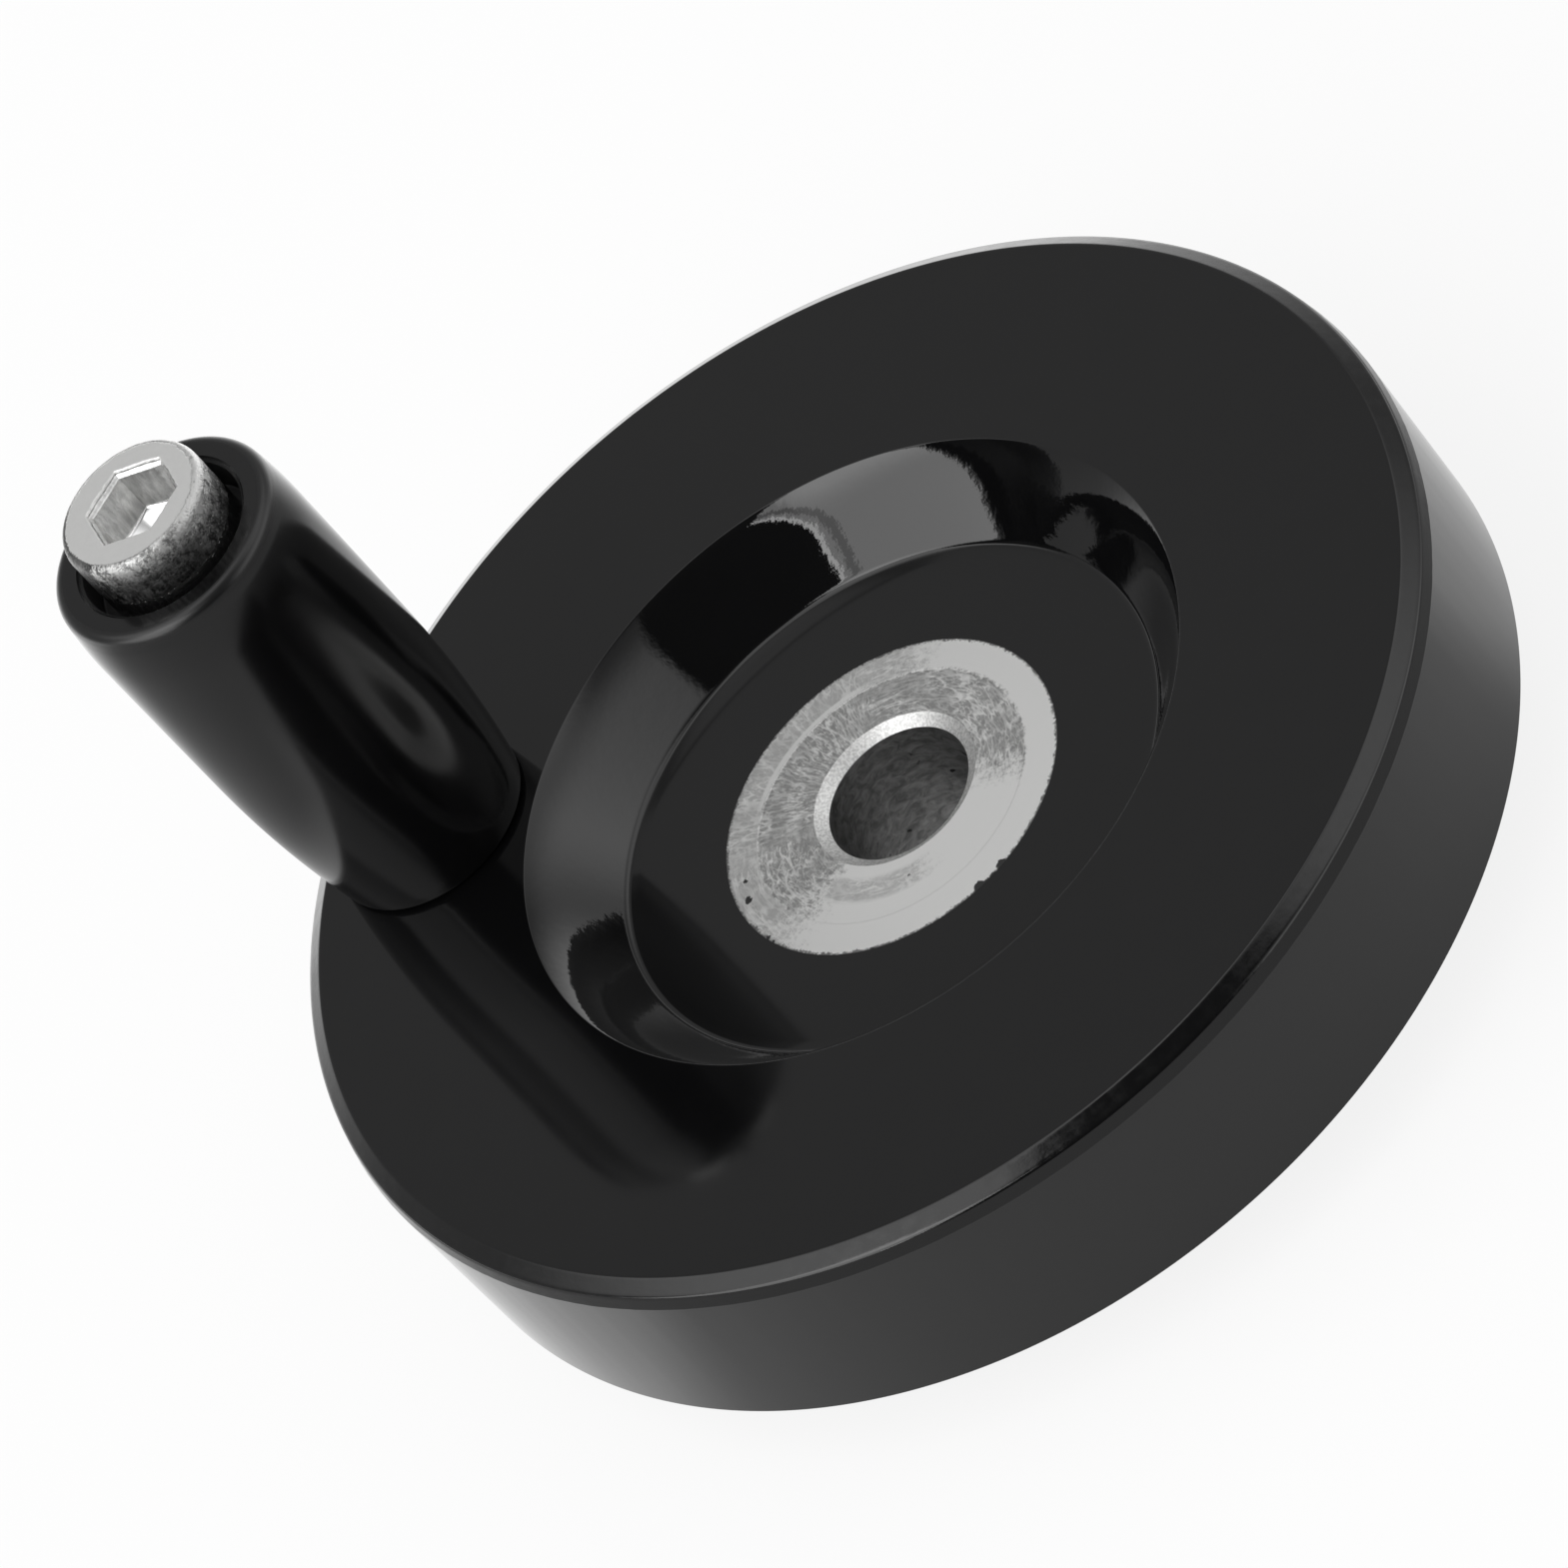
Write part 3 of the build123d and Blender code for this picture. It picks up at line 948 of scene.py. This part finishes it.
def bush_wear_and_dark_reflection(bush, about, ragged):
    """Where the end face shows wear and a painted dark reflection: within its ring most of the way round,
    outside it on one side.
    """
    radius, angle = about["Radius"], about["Angle"]
    inner = band(scaled_sum(ragged, 1.2 * MM, radius), 0.0, bush.ring - 0.05 * MM, 0.25 * MM)
    wear_and_dark_reflection = times(sector(angle, ragged, -56.0, 119.0), inner)
    outside = times(sector(angle, ragged, -14.0, 74.0), minus(1.0, inner))
    rubbed = band(radius, bush.ring, bush.ring + 0.4 * MM, 0.15 * MM)
    rubbed = times(sector(angle, ragged, -36.0, 32.0), rubbed)
    outside = times(outside, scaled_sum(rubbed, -0.6, 0.65))
    patch = times(sector(angle, ragged, 90.0, 30.0), band(radius, 6.3 * MM, 8.0 * MM, 0.5 * MM))
    return larger(larger(wear_and_dark_reflection, outside), times(patch, 0.55))


def bush_hatch(about, ragged, where, cloud):
    """The end face's wear marks: along the radius on one side, round the axis elsewhere, over fine speckle.
    """
    ticked = sector(about["Angle"], ragged, -25.0, 42.0)
    wide = blended(ticked, strokes(about, 1500.0, 3.0), strokes(about, 420.0, 13.0))
    fine = blended(ticked, strokes(about, 3400.0, 9.0), strokes(about, 900.0, 30.0))
    hatch = blended(0.3, larger(wide, times(fine, 0.7)), ramped(cloud, 0.38, 0.62))
    return times(hatch, ramped(noise(where, 520.0), 0.35, 0.6, 0.5, 1.0))


def bush_nicks(bush, radius, ragged, where):
    """Nicks in the end face, and its ragged rim."""
    nicks = spot_mask(where, [
        (9.6, 4.83, 0.14), (9.0, 6.5, 0.2), (9.1, 6.25, 0.2), (6.85, 9.6, 0.16), (6.4, 9.95, 0.06),
        (-9.6, 6.95, 0.36), (-8.35, 8.35, 0.4), (-9.2, 7.65, 0.22), (-8.75, 8.1, 0.2), (-2.82, 6.55, 0.07),
        (-1.32, 11.85, 0.1), (3.1, 11.6, 0.06), (-11.2, -4.1, 0.08),
    ], 0.06)
    edge = bush.diameter / 2
    rim = ramped(scaled_sum(ragged, 1.0 * MM, radius), edge - 0.22 * MM, edge - 0.04 * MM)
    return larger(nicks, times(rim, 0.9))


def bush_finish(settings, bush, polar, turning, mottle):
    """Turned steel: an even end face, on one side marked with wear and painted darker as a dark reflection,
    with pits and nicks, and a rough bore.
    """
    material, shader = blank("bush_steel")
    where = object_place(material)
    about = use(polar, Place=where)
    marks = use(turning, Place=where, Spacing=0.12 * MM, Waver=0.4)
    skin = use(mottle, Place=where, Scale=2600.0, Grain=0.5)
    even = dimmed(settings.bush)
    radius, angle, level = about["Radius"], about["Angle"], about["Level"]
    ragged = minus(skin["Cloud"], 0.5)
    # Levels of the end face's turned step and of the countersink's foot, and the bore's radius.
    step = bush.length - 2 * bush.ring_step
    foot = bush.length - bush.mouth_depth
    bore_radius = bush.bore / 2

    flat_face = ramped(level, bush.length - 3 * bush.ring_step, step)
    # Painted dark reflection: this part of the end face is painted darker, with lighter wear marks over it.
    wear_and_dark_reflection = times(bush_wear_and_dark_reflection(bush, about, ragged), flat_face)
    hatch = bush_hatch(about, ragged, where, skin["Cloud"])
    shade = times(wear_and_dark_reflection, ramped(hatch, 0.0, 1.0, 1.0, 0.06, smooth=False))
    tone = toned(shade, even, dimmed(settings.bush, 0.4))

    # The bore is rough and stained, with dark spots; its countersink is only speckled.
    depth = ramped(level, foot - 0.05 * MM, foot, 1.0, 0.0)
    bore = times(depth, ramped(radius, bore_radius + 0.7 * MM, bore_radius + 0.8 * MM, 1.0, 0.0))
    round_bore = paired(times(angle, 5.0), times(level, 1500.0))
    stain = ramped(noise(round_bore, 1.0, 6.0, 0.7, 0.9), 0.3, 0.7, 0.14, 0.34)
    spots = ramped(noise(where, 1100.0, 1.0), 0.72, 0.77, 1.0, 0.1)
    stained = toned(times(stain, spots), grey(0.0), even)
    speckle = ramped(noise(where, 6000.0, 2.0), 0.35, 0.65, 0.72, 1.0)
    mouth = times(band(level, foot, step, 0.02 * MM), minus(1.0, bore))
    tone = toned(mouth, tone, toned(speckle, grey(0.0), even))
    tone = toned(bore, tone, stained)

    nicks = times(bush_nicks(bush, radius, ragged, where), flat_face)
    tone = toned(nicks, tone, grey(0.01))
    rough = blended(wear_and_dark_reflection, 0.5, ramped(skin["Cloud"], 0.3, 0.7, 0.4, 0.6))
    fill(shader, Base_Color=tone, Metallic=minus(1.0, nicks), Roughness=blended(mouth, rough, 0.5))
    grainy = larger(larger(times(hatch, wear_and_dark_reflection), bore), mouth)
    shape = plus(times(marks["Height"], 0.3), times(grainy, skin["Cloud"]))
    fill(shader, Normal=bumped(shape, 0.02 * MM, 0.6))
    return material


def screw_finish(settings, screw, polar, mottle, centre, top):
    """Nickel plate: an even top, a shoulder and knurl mottled and with painted shade, darker below and on one
    side, a streaked socket.
    """
    material, shader = blank("screw_nickel")
    where = object_place(material, centre)
    about = use(polar, Place=where)
    radius, level = about["Radius"], about["Level"]
    skin = use(mottle, Place=where, Scale=1700.0, Grain=0.5)
    cloud = minus(skin["Cloud"], 0.5)
    top_edge = screw.head / 2 - screw.head_edge
    side = ramped(scaled_sum(cloud, 0.5 * MM, radius), top_edge - 0.05 * MM, top_edge + 0.05 * MM)
    # Painted shade: the head's side is darker towards the seat and on one side, over the plate's mottle.
    mottle_and_painted_shade = times(ramped(skin["Cloud"], 0.36, 0.62, 0.25, 1.0),
                   ramped(level, top - 2.0 * MM, top - 0.35 * MM, 0.17, 0.9))
    most_shaded_side = sector(about["Angle"], cloud, 35.0, 40.0)
    least_shaded_side = sector(about["Angle"], cloud, -160.0, 50.0)
    uneven = scaled_sum(least_shaded_side, 0.9, scaled_sum(most_shaded_side, -0.75, 1.0))
    mottle_and_painted_shade = maths("MINIMUM", times(mottle_and_painted_shade, uneven), 0.72)

    # Down the socket's walls run the broach's streaks; its floor is painted near white, brighter than the
    # plate, as a painted highlight.
    down = paired(times(about["Angle"], 7.0), times(level, 700.0))
    streak = ramped(noise(down, 1.0, 3.0, 0.6), 0.35, 0.65, 0.7, 1.0)
    socket_floor = top - screw.socket_depth
    walls = band(level, socket_floor + 0.02 * MM, top - 0.06 * MM, 0.04 * MM)
    walls = times(walls, ramped(radius, 3.3 * MM, 3.5 * MM, 1.0, 0.0))
    even = ramped(skin["Cloud"], 0.3, 0.7, 0.97, 1.0)
    share_of = blended(walls, blended(side, even, mottle_and_painted_shade), streak)
    rough = blended(side, 0.5, ramped(skin["Cloud"], 0.3, 0.7, 0.3, 0.5))
    floor = ramped(level, socket_floor, socket_floor + 0.01 * MM, 1.0, 0.0)
    tone = toned(share_of, grey(0.0), dimmed(settings.screw))
    # Painted highlight: the socket floor gets a near-white colour instead of the plate's.
    tone = toned(floor, tone, grey(0.98))
    rough = blended(floor, rough, 0.12)
    fill(shader, Base_Color=tone, Metallic=1.0, Roughness=blended(walls, rough, 0.32))
    pitted = times(skin["Cloud"], larger(side, times(walls, 0.5)))
    fill(shader, Normal=bumped(pitted, 0.12 * MM))
    return material


def drawn_finish(name, colour, turning, mottle, centre, roughness):
    """Drawn or turned metal inside the handle: fine rings and a little tarnish."""
    material, shader = blank(name)
    where = object_place(material, centre)
    marks = use(turning, Place=where, Spacing=0.15 * MM, Waver=0.3)
    skin = use(mottle, Place=where, Scale=700.0, Grain=0.4)
    tone = toned(skin["Cloud"], dimmed(colour, 0.75), dimmed(colour))
    rough = ramped(marks["Streak"], 0.3, 0.7, roughness * 0.8, roughness * 1.3)
    fill(shader, Base_Color=tone, Metallic=1.0, Roughness=rough)
    fill(shader, Normal=bumped(marks["Height"], 0.02 * MM, 0.4))
    return material


def shared_groups():
    """The shader groups that several finishes use."""
    polar = bpy.data.node_groups.get("Round the axis") or polar_group()
    turning = bpy.data.node_groups.get("Turning marks") or turning_group(polar)
    mottle = bpy.data.node_groups.get("Mottle") or mottle_group()
    return polar, turning, mottle


# ---- Stage ----


def panel_group():
    """How far a direction lies inside a panel: its azimuth and elevation against the panel's edges."""
    tree, given, out = group_tree(
        "Studio panel",
        [(label, NUMBER, 0.0) for label in
         ("Azimuth", "Elevation", "Middle", "Half width", "Low", "High", "Soft")],
        [("Mask", NUMBER)],
    )
    off = maths("WRAP", minus(given["Azimuth"], given["Middle"]), 180.0, -180.0)
    inward = minus(given["Half width"], maths("ABSOLUTE", off))
    half_soft = times(given["Soft"], 0.5)
    outer = times(half_soft, -1.0)
    beside = ramped(inward, outer, half_soft)
    above = ramped(minus(given["Elevation"], given["Low"]), outer, half_soft)
    below = ramped(minus(given["High"], given["Elevation"]), outer, half_soft)
    feed(out["Mask"], times(beside, times(above, below)))
    return tree


def build_world(settings):
    """A pale room: plain for soft light, white to the camera, and in gloss grey with soft-edged screens."""
    world = bpy.data.worlds.new("Studio")
    bpy.context.scene.world = world
    world.use_nodes = True
    tree = world.node_tree
    x, y, z = parted(place(tree, "ShaderNodeTexCoord").outputs["Generated"])
    azimuth = maths("DEGREES", maths("ARCTAN2", y, x))
    elevation = maths("DEGREES", maths("ARCSINE", z))
    panel = panel_group()
    screens = [
        # middle, half width, low, high, soft, level
        (-62.0, 52.0, -30.0, 8.0, 30.0, 1.5),  # glow of the paper along the far horizon
        (190.0, 45.0, 2.0, 32.0, 40.0, 1.6),  # broad low light on the left
        (235.0, 42.0, 38.0, 72.0, 30.0, 1.2),  # and a higher one further round
        (-15.0, 70.0, 60.0, 86.0, 12.0, 1.2),  # pale ceiling
        (48.0, 44.0, 40.0, 84.0, 22.0, 1.6),  # and its brighter part above the window
        (126.0, 32.0, -2.0, 74.0, 5.0, 0.04),  # dark screen round the camera
        (140.0, 48.0, 58.0, 86.0, 14.0, 0.06),  # its wider top
        (0.0, 200.0, 85.0, 95.0, 4.0, 1.4),  # straight overhead
    ]
    level = settings.grey_room
    for middle, half, low, high, soft, tone in screens:
        inside = use(panel, Azimuth=azimuth, Elevation=elevation, Middle=middle, Half_width=half,
                     Low=low, High=high, Soft=soft)
        level = blended(inside["Mask"], level, tone)
    ray = place(tree, "ShaderNodeLightPath").outputs
    seen = larger(ray["Is Camera Ray"], ray["Is Transmission Ray"])
    lit = blended(ray["Is Glossy Ray"], settings.room, level)
    fill(tree.nodes["Background"], Color=grey(1.0), Strength=blended(seen, lit, 1.0))


def mixed(mask, first, second):
    """The first shader where the mask is 0 and the second where it is 1."""
    made = place(mask.id_data, "ShaderNodeMixShader")
    for target, value in zip(made.inputs, (mask, first, second)):
        feed(target, value)
    return made.outputs[0]


def build_floor(settings):
    """A round pale floor at the hub's back end, white to the camera but for the object's soft shadow."""
    turns = angles(96)
    radius = np.array([0.0, 0.1, 0.5, 1.0]) * settings.floor_radius
    points = swept(radius, 0 * radius, turns).reshape(-1, 3)
    mesh = bpy.data.meshes.new("floor")
    faces = quads(len(radius), len(turns), 0, False, True)
    mesh.from_pydata(points.tolist(), [], [tuple(dict.fromkeys(f)) for f in faces[:, ::-1].tolist()])
    mesh.update()
    piece = added("floor", mesh)
    material, shader = blank("floor_paper")
    tree = material.node_tree
    tree.nodes.remove(shader)
    ray = place(tree, "ShaderNodeLightPath").outputs
    seen = larger(ray["Is Camera Ray"], ray["Is Transmission Ray"])
    colour = toned(seen, grey(0.5), dimmed(settings.floor))
    plain = fill(place(tree, "ShaderNodeBsdfDiffuse"), Color=colour)["BSDF"]
    white = fill(place(tree, "ShaderNodeEmission"), Strength=blended(seen, 3.0, 1.0))["Emission"]
    # In gloss the paper glows with painted light close to the wheel, more so beyond it, and most far beyond
    # it.
    where = object_place(material)
    along = vector_maths("DOT_PRODUCT", where, (*BEYOND, 0.0))
    away = vector_maths("LENGTH", where)
    near = ramped(away, 0.055, 0.068, 1.0, 0.0)
    beside = times(near, ramped(along, -0.024, -0.013, 0.08, 0.2))
    beyond = times(ramped(along, 0.04, 0.12, 0.0, 0.65), ramped(away, 0.18, 0.5, 1.0, 0.5))
    glow = times(plus(beside, beyond), ray["Is Glossy Ray"])
    paper = mixed(blended(seen, glow, 0.85), plain, white)
    clear = place(tree, "ShaderNodeBsdfTransparent").outputs["BSDF"]
    behind = place(tree, "ShaderNodeNewGeometry").outputs["Backfacing"]
    fill(tree.nodes["Material Output"], Surface=mixed(behind, paper, clear))
    dress(piece, material)


def add_light(name, matrix, width, tall, radiance):
    """A soft rectangular lamp of an even radiance, which the camera doesn't see."""
    data = bpy.data.lights.new(name, "AREA")
    data.shape = "RECTANGLE"
    data.size = width
    data.size_y = tall
    data.energy = radiance * math.pi * width * tall
    lamp = added(name, data)
    lamp.matrix_world = matrix
    lamp.visible_camera = False
    return lamp


def build_lights(settings):
    """A tall leaning window with a bright left edge, and a soft lamp above that only plain surfaces feel."""
    away = 1.8
    quarter = math.radians(90)
    # The window's own frame: upright, facing the wheel, then leant over in its plane.
    frame_of = Matrix.Rotation(settings.window_turn, 4, "Z") @ Matrix.Translation((away, 0, 0))
    frame_of = frame_of @ Matrix.Rotation(quarter, 4, "Y") @ Matrix.Rotation(quarter, 4, "Z")
    frame_of = frame_of @ Matrix.Rotation(-settings.window_lean, 4, "Z")
    bottom, top = 0.1 * away, 1.75 * away
    panes = (
        # name, from, to (along the window's width), level
        ("window", -0.66, 0.13, settings.window),
        ("window_smear", 0.13, 0.19, settings.window * 0.5),
        ("window_gap", 0.19, 0.235, settings.window),
        ("window_edge", 0.235, 0.272, settings.window * 2.4),
    )
    for name, start, stop, level in panes:
        middle = Matrix.Translation(((start + stop) / 2 * away, (bottom + top) / 2, 0))
        add_light(name, frame_of @ middle, (stop - start) * away, top - bottom, level)
    up = math.radians(69)
    over = math.radians(28)
    far = 2.4
    out = far * math.cos(up)
    at = Vector((out * math.cos(over), out * math.sin(over), far * math.sin(up)))
    aimed = Matrix.Translation(at) @ (-at).to_track_quat("-Z", "Y").to_matrix().to_4x4()
    width, tall = 1.75, 0.85
    lamp = add_light("overhead", aimed, width, tall, settings.window * 0.75)
    lamp.visible_glossy = False


def build_camera(settings):
    """The camera looks down at the wheel's face across the handle, rolled to one side."""
    data = bpy.data.cameras.new("camera")
    data.lens = settings.lens
    data.sensor_width = 36.0
    data.clip_start = 0.01
    data.clip_end = 50.0
    camera = added("camera", data)
    ahead = Vector(CAMERA_AHEAD).normalized()
    right = Vector(CAMERA_RIGHT).normalized()
    up = right.cross(ahead).normalized()
    right = ahead.cross(up)
    turned = Matrix((right, up, -ahead)).transposed().to_4x4()
    camera.matrix_world = Matrix.Translation(CAMERA_AT) @ turned
    bpy.context.scene.camera = camera


# ---- Operators ----


def settings_of(context):
    """The scene's handwheel settings."""
    return context.scene.handwheel


def handle_centre(settings):
    """Distance from the wheel's axis to the handle's."""
    return settings.wheel.diameter / 2 - settings.insert.inset


class HANDWHEEL_OT_wheel(bpy.types.Operator):
    """Build the wheel's moulding"""

    bl_idname = "handwheel.wheel"
    bl_label = "Wheel moulding"

    def execute(self, context):
        s = settings_of(context)
        grids = wheel_grids(s.wheel, s.bush, s.insert)
        grids.append((boss_grid(s.wheel, s.bush, s.insert), True, True))
        piece = solid("wheel_moulding", grids)
        polar, _, mottle = shared_groups()
        face = s.bush.length + s.wheel.recess_depth
        dress(piece, wheel_finish(s.finish, s.wheel, face, polar, mottle))
        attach(piece, "wheel")
        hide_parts("wheel_disc")
        return {"FINISHED"}


class HANDWHEEL_OT_bush(bpy.types.Operator):
    """Build the hub's steel bush"""

    bl_idname = "handwheel.bush"
    bl_label = "Hub bush"

    def execute(self, context):
        s = settings_of(context)
        piece = solid("bush_turned", [(bush_grid(s.bush), True, True)])
        dress(piece, bush_finish(s.finish, s.bush, *shared_groups()))
        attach(piece, "wheel")
        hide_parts("hub_bush")
        return {"FINISHED"}


class HANDWHEEL_OT_inner(bpy.types.Operator):
    """Finish the brass insert and the steel sleeve inside the handle"""

    bl_idname = "handwheel.inner"
    bl_label = "Insert and sleeve"

    def execute(self, context):
        s = settings_of(context)
        _, turning, mottle = shared_groups()
        centre = handle_centre(s)
        dress(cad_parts["handle_insert"],
              drawn_finish("insert_brass", s.finish.insert, turning, mottle, centre, 0.3))
        dress(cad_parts["handle_sleeve"],
              drawn_finish("sleeve_steel", s.finish.sleeve, turning, mottle, centre, 0.35))
        return {"FINISHED"}


class HANDWHEEL_OT_screw(bpy.types.Operator):
    """Build the handle's socket cap screw"""

    bl_idname = "handwheel.screw"
    bl_label = "Handle screw"

    def execute(self, context):
        s = settings_of(context)
        centre = handle_centre(s)
        piece = solid("screw_plated", screw_grids(s.screw, centre))
        polar, _, mottle = shared_groups()
        dress(piece, screw_finish(s.finish, s.screw, polar, mottle, centre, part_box("handle_screw")[1].z))
        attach(piece, "wheel")
        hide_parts("handle_screw")
        return {"FINISHED"}


class HANDWHEEL_OT_grip(bpy.types.Operator):
    """Build the revolving grip"""

    bl_idname = "handwheel.grip"
    bl_label = "Revolving grip"

    def execute(self, context):
        s = settings_of(context)
        centre = handle_centre(s)
        piece = solid("grip_moulding", [(grip_grid(s.grip, centre), True, True)])
        polar, _, mottle = shared_groups()
        dress(piece, grip_finish(s.finish, s.grip, centre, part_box("handle_grip")[1].z, polar, mottle))
        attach(piece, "grip")
        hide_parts("handle_grip")
        return {"FINISHED"}


class HANDWHEEL_OT_stage(bpy.types.Operator):
    """Set up the floor, the lights and the camera"""

    bl_idname = "handwheel.stage"
    bl_label = "Stage"

    def execute(self, context):
        s = settings_of(context).stage
        context.scene.view_settings.view_transform = "Standard"
        build_camera(s)
        build_world(s)
        build_floor(s)
        build_lights(s)
        return {"FINISHED"}


class HANDWHEEL_PT_panel(bpy.types.Panel):
    """The handwheel's steps in the sidebar"""

    bl_label = "Handwheel"
    bl_idname = "HANDWHEEL_PT_panel"
    bl_space_type = "VIEW_3D"
    bl_region_type = "UI"
    bl_category = "Handwheel"

    def draw(self, context):
        for step in STEPS:
            self.layout.operator(step.bl_idname)


STEPS = (
    HANDWHEEL_OT_stage,
    HANDWHEEL_OT_wheel,
    HANDWHEEL_OT_bush,
    HANDWHEEL_OT_inner,
    HANDWHEEL_OT_screw,
    HANDWHEEL_OT_grip,
)
CLASSES = (
    WheelSettings, BushSettings, InsertSettings, ScrewSettings, GripSettings, FinishSettings, StageSettings,
    HandwheelSettings, *STEPS, HANDWHEEL_PT_panel,
)


def register():
    """Add the settings, the operators and the panel."""
    for made in CLASSES:
        bpy.utils.register_class(made)
    bpy.types.Scene.handwheel = PointerProperty(type=HandwheelSettings)


def unregister():
    """Take them away again."""
    del bpy.types.Scene.handwheel
    for made in reversed(CLASSES):
        bpy.utils.unregister_class(made)


def main():
    """Build every piece and the stage."""
    register()
    for step in STEPS:
        getattr(bpy.ops.handwheel, step.bl_idname.split(".")[1])()


if __name__ == "__main__":
    main()
